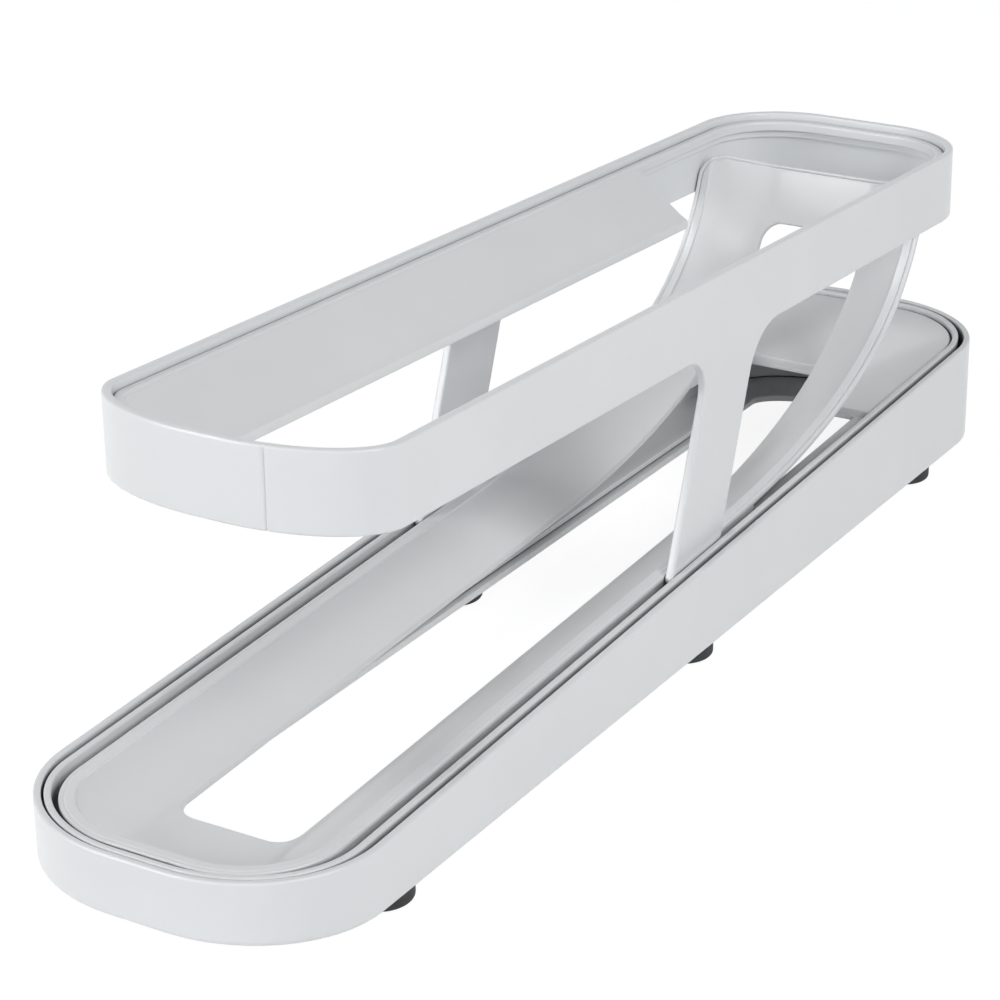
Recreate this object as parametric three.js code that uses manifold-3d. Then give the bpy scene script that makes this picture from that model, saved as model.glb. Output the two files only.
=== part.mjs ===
// Two-tier rolling egg dispenser in white moulded plastic, millimetres, +Z up.
// The front, where the lower tier is emptied, faces -Y, and the origin is on the table
// under the middle of the base. What it holds goes in at the top front, rolls to the rear,
// drops onto the slide and rolls back to the front of the lower tier.
import * as THREE from 'three';
import { mergeVertices } from 'three/addons/utils/BufferGeometryUtils.js';
import Module from 'manifold-3d';

const wasm = await Module();
wasm.setup();

// Overall base
const baseLength = 370;
const baseWidth = 88;
const rimFrontHeight = 19.5;
const rimRearHeight = 35.8;
const baseFrontCornerAcross = 36.4;
const baseFrontCornerAlong = 31.2;
const baseRearCornerAcross = 36.2;
const baseRearCornerAlong = 29.3;

// Fits between pieces and the overrun of every cut
const clearance = 0.3;
const overrun = 6;

// Outer base tray
const shellWall = 1.8;
const shellFlangeWidth = 20;
const shellFlangeThickness = 2;

// Rubber feet
const footRadius = 8;
const footFloorRadius = 7.4;
const footHeight = 4;
const footHoleRadius = 2.7;
const footHeadRadius = 3.6;
const footHeadHeight = 1.3;
const footSideInset = 9.2;
const footFrontInset = 42.8;
const footMidSetback = 184.4;
const footRearInset = 49.5;

// Middle ring of the base
const deckGap = 1.7;
const deckRearGap = 1.2;
const deckWall = 1.7;
const deckRimDrop = 0.1;
const deckFrontCornerAcross = 33.6;
const deckFrontCornerAlong = 26.6;
const deckRearCornerAcross = 29;
const deckRearCornerAlong = 27;
const deckFlangeWidth = 14.7;
const deckFlangeThickness = 2;
const deckFootHoleRadius = 4.5;
const deckPlateDrop = 1.1;
const deckPlateThickness = 2;
const deckPlateSlideShare = 0.686;
const deckWebThickness = 1.5;
const deckGroove = 0.7;
const deckLedgeWidth = 7.1;
const deckNotchWidth = 36;
const deckNotchLength = 24;
const socketDrop = 4;
const socketWall = 2;

// Upper band and its legs
const frameWall = 2.3;
const bandHeight = 19.6;
const bandFrontHeight = 106.3;
const bandRearHeight = 92.8;
const bandFrontSetback = 32.7;
const bandRearSetback = 9.7;
const bandFrontCornerAcross = 34.9;
const bandFrontCornerAlong = 19.2;
const bandRearCornerAcross = 26.5;
const bandRearCornerAlong = 26.4;
const bandLedgeWidth = 1.2;
const bandLedgeThickness = 2;
const legWidth = 25.6;
const legFootSetback = 183.8;
const legLean = 14.6;
const legLeanRise = 39.2;
const legFrontFillet = 9;
const legRearFillet = 16;
const legTabWidth = 18;

// Both tracks
const trackWall = 1.6;
const trackFloorThickness = 1.8;
const slotCornerRadius = 6;

// Lower track and slide
const trackFrontInset = 4.9;
const trackFrontCornerAcross = 26;
const trackFrontCornerAlong = 22.5;
const trackRimDrop = 0.5;
const trackRimWidth = 3.6;
const trackRimFall = 0.2;
const trackDepth = 10;
const trackSlotWidth = 32;
const trackSlotFrontInset = 30.2;
const slideStartSetback = 205;
const slideEaseLength = 113;
const slideTopSetback = 42.5;
const slideTopDrop = 7.4;
const slideSteepLength = 15;
const slideTopLean = 0.4;
const slideWebLength = 16;
const trackSkirtLength = 222;

// Upper track
const upperRimDrop = 2;
const upperRimWidth = 2.5;
const upperRimFall = 0.4;
const upperRimThickness = 2.8;
const upperTrackDepth = 13.5;
const upperTrackThickness = 2.6;
const upperSlotWidth = 33;
const upperSlotFrontInset = 18;
const upperTrackRearSetback = 88;
const upperEndWallLength = 30;

// Rounding steps
const cornerSteps = 10;
const slideSteps = 26;
const roundSteps = 32;

// Planes and lines worked out from the sizes above
const halfLength = baseLength / 2;
const halfWidth = baseWidth / 2;
const rimSlope = (rimRearHeight - rimFrontHeight) / baseLength;
const rimHeight = (y) => rimFrontHeight + rimSlope * (y + halfLength);
const shellFloorTop = footHeight + shellFlangeThickness;
const deckBottom = shellFloorTop + clearance;
const deckFloorTop = deckBottom + deckFlangeThickness;
const deckInset = shellWall + deckGap;
const frameHalfWidth = halfWidth - deckInset - deckWall - clearance;
const trackHalfWidth = frameHalfWidth - frameWall - clearance;
const bandFront = bandFrontSetback - halfLength;
const bandRear = halfLength - bandRearSetback;
const bandSlope = (bandFrontHeight - bandRearHeight) / (bandRear - bandFront);
const endWallRear = bandFront + upperEndWallLength;
const bandTop = (y) => bandFrontHeight - bandSlope * (y - bandFront);
const bandBottom = (y) => bandTop(y) - bandHeight;
const slideStart = slideStartSetback - halfLength;
const slideTopY = halfLength - slideTopSetback;
const deckPlateFront = slideStart + deckPlateSlideShare * (slideTopY - slideStart);
const trackSkirtEnd = trackSkirtLength - halfLength;
const legFootY = legFootSetback - halfLength;
const socketTop = rimHeight(legFootY) - socketDrop;
const highest = bandFrontHeight + overrun;
const lowest = -overrun;

// Every plan outline is a box with elliptical corners, drawn anticlockwise from the front
function plan({ half, front, rear, frontAcross = 0, frontAlong = 0, rearAcross = 0, rearAlong = 0 }) {
  const points = [];
  const corner = (side, end, across, along, startAngle) => {
    const rx = Math.min(Math.max(across, 0), half);
    const ry = Math.min(Math.max(along, 0), (rear - front) / 2);
    const steps = rx > 0 && ry > 0 ? cornerSteps : 0;
    const centreX = side * (half - rx);
    const centreY = end > 0 ? rear - ry : front + ry;
    for (let i = 0; i <= steps; i += 1) {
      const angle = startAngle + (steps ? (Math.PI / 2) * (i / steps) : 0);
      points.push(new THREE.Vector2(centreX + rx * Math.cos(angle), centreY + ry * Math.sin(angle)));
    }
  };
  corner(1, -1, frontAcross, frontAlong, -Math.PI / 2);
  corner(1, 1, rearAcross, rearAlong, 0);
  corner(-1, 1, rearAcross, rearAlong, Math.PI / 2);
  corner(-1, -1, frontAcross, frontAlong, Math.PI);
  return points.filter((p, i) => p.distanceTo(points[(i + 1) % points.length]) > 0);
}

// The outlines of the base, the middle ring and the band, each moved inwards by an inset
const basePlan = (inset) => plan({
  half: halfWidth - inset, front: inset - halfLength, rear: halfLength - inset,
  frontAcross: baseFrontCornerAcross - inset, frontAlong: baseFrontCornerAlong - inset,
  rearAcross: baseRearCornerAcross - inset, rearAlong: baseRearCornerAlong - inset,
});
const deckPlan = (inset) => plan({
  half: halfWidth - deckInset - inset, front: shellWall + clearance + inset - halfLength,
  rear: halfLength - shellWall - deckRearGap - inset,
  frontAcross: deckFrontCornerAcross - inset, frontAlong: deckFrontCornerAlong - inset,
  rearAcross: deckRearCornerAcross - inset, rearAlong: deckRearCornerAlong - inset,
});
const bandPlan = (inset) => plan({
  half: frameHalfWidth - inset, front: bandFront + inset, rear: bandRear - inset,
  frontAcross: bandFrontCornerAcross - inset, frontAlong: bandFrontCornerAlong - inset,
  rearAcross: bandRearCornerAcross - inset, rearAlong: bandRearCornerAlong - inset,
});
const boxPlan = (x0, x1, y0, y1) => [[x0, y0], [x1, y0], [x1, y1], [x0, y1]]
  .map(([x, y]) => new THREE.Vector2(x, y));

// A three.js geometry becomes a solid once its shared vertices are merged
function solid(geometry) {
  const plain = geometry.index ? geometry.toNonIndexed() : geometry.clone();
  plain.deleteAttribute('normal');
  plain.deleteAttribute('uv');
  const merged = mergeVertices(plain);
  return new wasm.Manifold(new wasm.Mesh({
    numProp: 3,
    vertProperties: Float32Array.from(merged.attributes.position.array),
    triVerts: Uint32Array.from(merged.index.array),
  }));
}

// A wall or plate of one plan outline between two heights that may slope along Y
function prism(points, low, high) {
  const geometry = new THREE.ExtrudeGeometry(new THREE.Shape(points), { depth: 1, bevelEnabled: false });
  const position = geometry.attributes.position;
  const bottom = typeof low === 'function' ? low : () => low;
  const top = typeof high === 'function' ? high : () => high;
  for (let i = 0; i < position.count; i += 1) {
    const y = position.getY(i);
    position.setZ(i, position.getZ(i) > 0 ? top(y) : bottom(y));
  }
  return solid(geometry);
}

const ring = (outer, inner, low, high) => prism(outer, low, high).subtract(prism(inner, lowest, highest));

// A side view outline in Y and Z, made solid between two X planes
function sidePlate(points, x0, x1) {
  const shape = new THREE.Shape(points.map(([y, z]) => new THREE.Vector2(y, z)));
  const geometry = new THREE.ExtrudeGeometry(shape, { depth: x1 - x0, bevelEnabled: false });
  geometry.rotateX(Math.PI / 2);
  geometry.rotateZ(Math.PI / 2);
  geometry.translate(x0, 0, 0);
  return solid(geometry);
}

// A cross section carried along stations in the YZ plane, from the rear to the front
function sweep(section, stations) {
  const shape = new THREE.Shape(section.map(([x, n]) => new THREE.Vector2(x, n)));
  const steps = stations.length - 1;
  const geometry = new THREE.ExtrudeGeometry(shape, { depth: steps, steps, bevelEnabled: false });
  const position = geometry.attributes.position;
  for (let i = 0; i < position.count; i += 1) {
    const station = stations[Math.round(position.getZ(i))];
    const n = position.getY(i);
    position.setXYZ(i, position.getX(i), station.y + n * station.normalY, station.z + n * station.normalZ);
  }
  return solid(geometry);
}

// A trough section: two edges that lie level, sloped ledges and a flat bottom
function troughSection({ half, rimWidth, edgeDrop, rimFall, depth, bottomHalf, thickness }) {
  const under = rimFall + thickness;
  return [
    [-half, -edgeDrop], [-half, -edgeDrop - thickness],
    [rimWidth - half, -under], [-bottomHalf, -depth - thickness],
    [bottomHalf, -depth - thickness], [half - rimWidth, -under],
    [half, -edgeDrop - thickness], [half, -edgeDrop],
    [half - rimWidth, -rimFall], [bottomHalf, -depth],
    [-bottomHalf, -depth], [rimWidth - half, -rimFall],
  ];
}

// A straight station line that follows a sloping rim from the rear to the front
function straightStations(height, slope, rear, front) {
  const run = Math.hypot(1, slope);
  return [rear, front].map((y) => ({ y, z: height(y), normalY: -slope / run, normalZ: 1 / run }));
}

const plastic = (colour) => new THREE.MeshStandardMaterial({ color: colour, roughness: 0.42, metalness: 0 });
const rubber = new THREE.MeshStandardMaterial({ color: 0x3a3b3d, roughness: 0.85, metalness: 0 });

const dispenser = new THREE.Group();
dispenser.name = 'rolling_egg_dispenser';

function addPiece(name, piece, material) {
  const mesh = piece.getMesh();
  const geometry = new THREE.BufferGeometry();
  geometry.setAttribute('position', new THREE.BufferAttribute(Float32Array.from(mesh.vertProperties), 3));
  geometry.setIndex(new THREE.BufferAttribute(Uint32Array.from(mesh.triVerts), 1));
  geometry.computeVertexNormals();
  const part = new THREE.Mesh(geometry, material);
  part.name = name;
  dispenser.add(part);
}

// Six foot places, three along each side
const footX = halfWidth - footSideInset;
const footFrontY = footFrontInset - halfLength;
const footMidY = footMidSetback - halfLength;
const footRearY = halfLength - footRearInset;
const footPlaces = [['front', footFrontY], ['mid', footMidY], ['rear', footRearY]]
  .flatMap(([row, y]) => [['left', -footX], ['right', footX]].map(([side, x]) => ({ row, side, x, y })));

// An upright hole at every foot
function footHoles(radius) {
  const drills = footPlaces.map(({ x, y }) => {
    const drill = new THREE.CylinderGeometry(radius, radius, deckFloorTop + overrun, roundSteps);
    drill.rotateX(Math.PI / 2);
    drill.translate(x, y, (deckFloorTop + overrun) / 2);
    return solid(drill);
  });
  return drills.reduce((all, drill) => all.add(drill));
}

// Outer base tray: a wedge shaped wall with an inward flange at the bottom
function makeBaseShell() {
  const wall = ring(basePlan(0), basePlan(shellWall), footHeight, rimHeight);
  const flange = ring(basePlan(0), basePlan(shellFlangeWidth), footHeight, shellFloorTop);
  return wall.add(flange).subtract(footHoles(footHoleRadius));
}

// Middle ring: a wall, a flange along each side at the bottom, two walls to each leg
// socket, and a notched rear plate. The plate stands on a web that leaves a groove round it
// and runs forward along each side as a ledge
function makeDeckFrame() {
  const wall = ring(deckPlan(0), deckPlan(deckWall), deckBottom, (y) => rimHeight(y) - deckRimDrop);
  const flangeX = halfWidth - deckInset - deckFlangeWidth;
  const flange = prism(deckPlan(0), deckBottom, deckFloorTop)
    .subtract(prism(boxPlan(-flangeX, flangeX, -halfLength, halfLength), lowest, highest))
    .subtract(footHoles(deckFootHoleRadius));
  const socketX0 = trackHalfWidth + clearance;
  const socketX1 = halfWidth - deckInset;
  const behind = (front) => prism(boxPlan(-halfWidth, halfWidth, front, halfLength), lowest, highest);
  const notch = prism(plan({
    half: deckNotchWidth / 2, front: deckPlateFront - overrun, rear: deckPlateFront + deckNotchLength,
    rearAcross: slotCornerRadius, rearAlong: slotCornerRadius,
  }), lowest, highest);
  const plateTop = (y) => rimHeight(y) - deckPlateDrop;
  const webTop = (y) => plateTop(y) - deckPlateThickness;
  const webBottom = (y) => webTop(y) - deckWebThickness;
  const ledgeX = halfWidth - deckInset - deckLedgeWidth;
  const plate = prism(deckPlan(deckWall + deckGroove), (y) => webTop(y) - deckWebThickness / 2, plateTop)
    .intersect(behind(deckPlateFront)).subtract(notch);
  const web = prism(deckPlan(deckWall / 2), webBottom, webTop)
    .intersect(behind(trackSkirtEnd + clearance)).subtract(notch)
    .subtract(prism(boxPlan(-ledgeX, ledgeX, -halfLength, deckPlateFront), lowest, highest));
  const tabHalf = legTabWidth / 2 + clearance;
  const sockets = [-1, 1].flatMap((side) => [-1, 1].map((end) => {
    const y0 = legFootY + end * tabHalf;
    const y1 = y0 + end * socketWall;
    const xs = [side * socketX0, side * socketX1].sort((a, b) => a - b);
    return prism(boxPlan(xs[0], xs[1], Math.min(y0, y1), Math.max(y0, y1)), deckBottom, socketTop);
  }));
  return [flange, plate, web, ...sockets].reduce((all, piece) => all.add(piece), wall);
}

// Side view of one leg: a leaning bar that flares into the band with a round fillet on
// each side and narrows below the base rim to the tab that stands in its socket
function filletPoints(corner, dirA, dirB, radius) {
  const half = Math.acos(dirA.dot(dirB)) / 2;
  const centre = corner.clone().addScaledVector(dirA.clone().add(dirB).normalize(), radius / Math.sin(half));
  const start = corner.clone().addScaledVector(dirA, radius / Math.tan(half));
  const end = corner.clone().addScaledVector(dirB, radius / Math.tan(half));
  const a0 = Math.atan2(start.y - centre.y, start.x - centre.x);
  let sweepAngle = Math.atan2(end.y - centre.y, end.x - centre.x) - a0;
  if (sweepAngle > Math.PI) sweepAngle -= 2 * Math.PI;
  if (sweepAngle < -Math.PI) sweepAngle += 2 * Math.PI;
  return Array.from({ length: cornerSteps + 1 }, (_, i) => {
    const angle = a0 + sweepAngle * (i / cornerSteps);
    return [centre.x + radius * Math.cos(angle), centre.y + radius * Math.sin(angle)];
  });
}

function legOutline() {
  const lean = legLean / legLeanRise;
  const kneeZ = socketTop + clearance;
  const edge = (end) => (z) => legFootY + end * legWidth / 2 + lean * (z - kneeZ);
  const meet = (line) => {
    const z = (bandBottom(line(kneeZ)) + bandSlope * lean * kneeZ) / (1 + bandSlope * lean);
    return new THREE.Vector2(line(z), z);
  };
  const down = new THREE.Vector2(-lean, -1).normalize();
  const forwards = new THREE.Vector2(-1, bandSlope).normalize();
  const front = filletPoints(meet(edge(-1)), down, forwards, legFrontFillet);
  const rear = filletPoints(meet(edge(1)), down, forwards.clone().negate(), legRearFillet);
  const tabBottom = deckFloorTop + clearance;
  const tabFront = legFootY - legTabWidth / 2;
  const tabRear = legFootY + legTabWidth / 2;
  const intoBand = bandHeight / 2;
  const lastFront = front[front.length - 1];
  const lastRear = rear[rear.length - 1];
  return [
    [tabFront, tabBottom], [tabRear, tabBottom], [tabRear, kneeZ], [edge(1)(kneeZ), kneeZ],
    ...rear,
    [lastRear[0], bandBottom(lastRear[0]) + intoBand], [lastFront[0], bandBottom(lastFront[0]) + intoBand],
    ...front.reverse(),
    [edge(-1)(kneeZ), kneeZ], [tabFront, kneeZ],
  ];
}

// Upper band, closed all round, with an inner ledge under the track and its two legs
function makeUpperFrame() {
  const band = ring(bandPlan(0), bandPlan(frameWall), bandBottom, bandTop);
  const ledgeTop = (y) => bandTop(y) - upperRimDrop - upperRimThickness - clearance;
  const ledge = ring(bandPlan(0), bandPlan(frameWall + bandLedgeWidth),
    (y) => ledgeTop(y) - bandLedgeThickness, ledgeTop)
    .intersect(prism(boxPlan(-halfWidth, halfWidth, endWallRear + clearance, halfLength), lowest, highest));
  const leg = sidePlate(legOutline(), frameHalfWidth - frameWall, frameHalfWidth);
  return band.add(ledge).add(leg).add(leg.mirror([1, 0, 0]));
}

// Upper track: a rim all round the band, sloped ledges with a slot between them, an end
// wall at the front and an opening behind the ledges above the slide
function makeUpperTrack() {
  const inset = frameWall + clearance;
  const rimTop = (y) => bandTop(y) - upperRimDrop;
  const trackRear = halfLength - upperTrackRearSetback;
  const half = frameHalfWidth - inset;
  const rim = ring(bandPlan(inset), bandPlan(inset + upperRimWidth), (y) => rimTop(y) - upperRimThickness, rimTop);
  const intoRim = upperRimWidth / 2;
  const section = troughSection({
    half: half - intoRim, rimWidth: upperRimWidth - intoRim, edgeDrop: upperRimFall, rimFall: upperRimFall,
    depth: upperTrackDepth, bottomHalf: upperSlotWidth / 2, thickness: upperTrackThickness,
  });
  const stations = straightStations(rimTop, -bandSlope, trackRear, bandFront);
  const inside = prism(bandPlan(inset), lowest, highest);
  const ledges = sweep(section, stations).intersect(inside);
  const endWall = ring(bandPlan(inset), bandPlan(inset + trackWall),
    (y) => rimTop(y) - upperTrackDepth - upperTrackThickness, rimTop)
    .intersect(prism(boxPlan(-halfWidth, halfWidth, bandFront, endWallRear), lowest, highest));
  const slot = prism(plan({
    half: upperSlotWidth / 2, front: bandFront + inset + upperSlotFrontInset, rear: trackRear + overrun,
    frontAcross: slotCornerRadius, frontAlong: slotCornerRadius,
  }), lowest, highest);
  return ledges.add(endWall).subtract(slot).add(rim);
}

// Stations of the slide from its top down to the lower track, then along the base rim
function slideCurve() {
  const height = (y) => rimHeight(y) - trackRimDrop;
  const top = new THREE.Vector2(slideTopY, bandTop(slideTopY) - slideTopDrop);
  const run = new THREE.Vector2(1, rimSlope).normalize();
  const start = new THREE.Vector2(slideStart, height(slideStart));
  const ease = start.clone().addScaledVector(run, slideEaseLength);
  const steep = new THREE.Vector2(
    top.x - slideSteepLength * Math.sin(slideTopLean), top.y - slideSteepLength * Math.cos(slideTopLean));
  return new THREE.CubicBezierCurve(top, steep, ease, start);
}

function slideStations(curve, firstShare) {
  return Array.from({ length: slideSteps + 1 }, (_, i) => {
    const share = firstShare + (1 - firstShare) * (i / slideSteps);
    const point = curve.getPointAt(share);
    const tangent = curve.getTangentAt(share);
    return { y: point.x, z: point.y, normalY: tangent.y, normalZ: -tangent.x };
  });
}

// Lower track and slide, one moulding: a rim with a sloped floor and a long slot, a skirt
// that stands on the deck flange, and the slide curling up behind into the band
function makeRollTrack() {
  const height = (y) => rimHeight(y) - trackRimDrop;
  const curve = slideCurve();
  const straight = straightStations(height, rimSlope, slideStart, -halfLength).slice(1);
  const section = troughSection({
    half: trackHalfWidth, rimWidth: trackRimWidth, edgeDrop: 0, rimFall: trackRimFall,
    depth: trackDepth, bottomHalf: trackSlotWidth / 2, thickness: trackFloorThickness,
  });
  const floor = sweep(section, [...slideStations(curve, 0), ...straight]);
  const openRear = (extra) => plan({
    half: trackHalfWidth - extra, front: trackFrontInset + extra - halfLength, rear: halfLength + overrun,
    frontAcross: trackFrontCornerAcross - extra, frontAlong: trackFrontCornerAlong - extra,
  });
  const insideBase = prism(openRear(0), lowest, highest);
  const insideBand = prism(plan({
    half: trackHalfWidth, front: -halfLength - overrun, rear: bandRear - frameWall - clearance,
    rearAcross: bandRearCornerAcross - frameWall - clearance, rearAlong: bandRearCornerAlong - frameWall - clearance,
  }), lowest, highest);
  const skirtBox = prism(boxPlan(-halfWidth, halfWidth, -halfLength, trackSkirtEnd), lowest, highest);
  const skirtBottom = deckFloorTop + clearance;
  const skirt = prism(openRear(0), skirtBottom, height).subtract(prism(openRear(trackWall), lowest, highest))
    .intersect(skirtBox);
  const rim = prism(openRear(0), (y) => height(y) - trackFloorThickness, height)
    .subtract(prism(openRear(trackRimWidth), lowest, highest)).intersect(skirtBox);
  const slotStations = slideStations(curve, slideWebLength / curve.getLength());
  const slotFront = trackSlotFrontInset + trackFrontInset - halfLength;
  const slotHalf = trackSlotWidth / 2;
  const slotDepth = trackDepth + trackFloorThickness + overrun;
  const slotSection = [[-slotHalf, overrun], [-slotHalf, -slotDepth], [slotHalf, -slotDepth], [slotHalf, overrun]];
  const slot = sweep(slotSection,
    [...slotStations, ...straightStations(height, rimSlope, slideStart, slotFront).slice(1)]);
  return floor.intersect(insideBase).intersect(insideBand).add(skirt).add(rim).subtract(slot);
}

// One foot, a turned shape: a pad, a thin neck through the tray flange and a round head
function makeFoot({ x, y }) {
  const padTop = footHeight - clearance;
  const neckRadius = footHoleRadius - clearance;
  const headBottom = shellFloorTop + clearance;
  const headTop = headBottom + footHeadHeight;
  const profile = [
    [0, 0], [footFloorRadius, 0], [footRadius, footRadius - footFloorRadius], [footRadius, padTop],
    [neckRadius, padTop], [neckRadius, headBottom], [footHeadRadius, headBottom], [neckRadius, headTop], [0, headTop],
  ].map(([radius, height]) => new THREE.Vector2(radius, height));
  const foot = new THREE.LatheGeometry(profile, roundSteps);
  foot.rotateX(Math.PI / 2);
  foot.translate(x, y, 0);
  return solid(foot);
}

addPiece('base_shell', makeBaseShell(), plastic(0xe9ebed));
addPiece('deck_frame', makeDeckFrame(), plastic(0xe2e4e6));
addPiece('roll_track', makeRollTrack(), plastic(0xeceeef));
addPiece('upper_frame', makeUpperFrame(), plastic(0xe9ebed));
addPiece('upper_track', makeUpperTrack(), plastic(0xeceeef));
footPlaces.forEach((place) => addPiece(`foot_${place.row}_${place.side}`, makeFoot(place), rubber.clone()));

export default dispenser;
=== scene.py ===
# Two-tier rolling dispenser in white moulded plastic, standing empty on a pale table. The
# front, where the lower tier is emptied, faces -Y. Sizes are millimetres until moulded()
# puts a piece into its mesh in metres.
import bpy
import numpy as np
from mathutils import Matrix, Vector


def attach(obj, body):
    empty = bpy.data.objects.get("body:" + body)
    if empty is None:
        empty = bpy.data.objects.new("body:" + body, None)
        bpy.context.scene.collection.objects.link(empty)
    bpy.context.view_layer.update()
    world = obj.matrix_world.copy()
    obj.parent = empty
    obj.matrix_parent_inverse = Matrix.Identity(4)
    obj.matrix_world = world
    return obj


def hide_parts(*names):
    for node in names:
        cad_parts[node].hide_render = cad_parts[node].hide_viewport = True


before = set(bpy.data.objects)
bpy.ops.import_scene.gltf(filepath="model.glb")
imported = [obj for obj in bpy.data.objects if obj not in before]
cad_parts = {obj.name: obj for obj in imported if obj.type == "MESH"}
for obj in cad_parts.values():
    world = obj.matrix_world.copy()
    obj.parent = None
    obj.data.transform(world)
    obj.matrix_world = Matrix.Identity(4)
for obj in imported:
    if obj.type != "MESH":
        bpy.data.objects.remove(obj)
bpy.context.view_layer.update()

# Outer base tray.
# The tray that the whole dispenser stands in: a low wall that is 16 mm higher at the rear
# than at the front, with a flange turned in under it for the feet. It is one injection
# moulding in cool white plastic with a satin skin, its edges just broken.
base_half, base_front, base_rear = 44.0, -185.0, 185.0
base_front_corner, base_rear_corner = (36.4, 31.2), (36.2, 29.3)
rim_low, rim_high = 19.5, 35.8
tray_bottom, tray_wall = 4.0, 1.8
tray_flange, tray_flange_top = 20.0, 6.0
tray_roundings = [1.6, 0.4, 0.4, 0.9, 0.4, 0.6]
satin_white = (0.84, 0.855, 0.865)


def rim_line(y):
    """Height of the outer tray's rim, which rises evenly from rim_low in front to rim_high behind."""
    return rim_low + (rim_high - rim_low) * (y - base_front) / (base_rear - base_front)


def plan_half(half, front, rear, front_corner, rear_corner, steps=22, side_steps=2, rear_steps=0):
    """Right half of a plan outline, from the front centre to the rear centre, with inward unit normals.

    A corner is a quarter ellipse, centre + (across * cos, along * sin), whose normal is
    (cos / across, sin / along). Straight points join them, with rear_steps more of them from the
    rear corner towards the centre. A corner of None leaves that end open.
    """
    quarter = np.linspace(0, np.pi / 2, steps + 1)
    points, inward = [], []

    def corner(along_sign, size, angle):
        across, along = size
        end = front + along if along_sign < 0 else rear - along
        points.append(np.stack([half - across + across * np.cos(angle), end + along * np.sin(angle)], 1))
        slope = np.stack([np.cos(angle) / across, np.sin(angle) / along], 1)
        inward.append(-slope / np.linalg.norm(slope, axis=1, keepdims=True))

    if front_corner:
        corner(-1, front_corner, quarter - np.pi / 2)
    y0 = front + (front_corner[1] if front_corner else 0)
    y1 = rear - (rear_corner[1] if rear_corner else 0)
    y = np.linspace(y0, y1, side_steps + 1)
    y = y[(1 if front_corner else 0):(-1 if rear_corner else None)]
    points.append(np.stack([np.full_like(y, half), y], 1))
    inward.append(np.tile([-1.0, 0.0], (len(y), 1)))
    if rear_corner:
        corner(1, rear_corner, quarter)
    if rear_steps:
        x = (half - rear_corner[0]) * (1 - (np.arange(rear_steps) + 1) / (rear_steps + 0.5))
        points.append(np.stack([x, np.full_like(x, rear)], 1))
        inward.append(np.tile([0.0, -1.0], (rear_steps, 1)))
    return np.concatenate(points), np.concatenate(inward)


def both_sides(points, inward, open_rear=False):
    """The right half and its mirror image across X = 0 as one path, anticlockwise from above.

    With open_rear the path starts and ends at the rear, otherwise it starts and ends at the front.
    """
    left, left_inward = points[::-1] * (-1, 1), inward[::-1] * (-1, 1)
    order = [(left, left_inward), (points, inward)] if open_rear else [(points, inward), (left, left_inward)]
    return tuple(np.concatenate(pair) for pair in zip(*order))


def rounded(corners, radii, steps=5, land=0.1):
    """A closed section whose corners are circular arcs, for one section or one per station.

    Each corner is cut back by radius / tan(half its angle) on both sides, and the arc's centre
    lies radius / sin(half the angle) along the bisector. One more point just outside each end
    of the arc keeps the shading of the flat faces flat.
    """
    corners = np.asarray(corners, float)
    radii = np.broadcast_to(np.asarray(radii, float), corners.shape[:-1])[..., None]
    back = np.roll(corners, 1, -2) - corners
    ahead = np.roll(corners, -1, -2) - corners
    back /= np.linalg.norm(back, axis=-1, keepdims=True)
    ahead /= np.linalg.norm(ahead, axis=-1, keepdims=True)
    half = 0.5 * np.arccos(np.clip((back * ahead).sum(-1, keepdims=True), -1, 1))
    middle = back + ahead
    middle /= np.linalg.norm(middle, axis=-1, keepdims=True)
    cut = radii / np.tan(half)
    centre = corners + middle * radii / np.sin(half)
    start, end = corners + back * cut - centre, corners + ahead * cut - centre
    angle = np.arctan2(start[..., 1], start[..., 0])[..., None]
    turn = (np.arctan2(end[..., 1], end[..., 0])[..., None] - angle + np.pi) % (2 * np.pi) - np.pi
    angle = angle + turn * np.linspace(0, 1, steps + 1)
    arc = centre[..., None, :] + radii[..., None, :] * np.stack([np.cos(angle), np.sin(angle)], -1)
    before = (corners + back * (cut + land))[..., None, :]
    after = (corners + ahead * (cut + land))[..., None, :]
    return np.concatenate([before, arc, after], -2).reshape(*corners.shape[:-2], -1, 2)


def carried(outline, inward, section):
    """A section of (inset, height) carried along a plan outline.

    Each point is outline + inward normal * inset, at its own height.
    """
    section = np.broadcast_to(section, (len(outline), *section.shape[-2:]))
    plan = outline[:, None] + inward[:, None] * section[..., :1]
    return np.concatenate([plan, section[..., 1:]], -1)


def stacked(*columns):
    """Section corners that vary along a path. A column is an (inset, height) pair of numbers or arrays."""
    count = max(np.size(value) for pair in columns for value in pair)
    return np.stack([np.stack([np.broadcast_to(v, count) for v in pair], -1) for pair in columns], 1)


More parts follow.
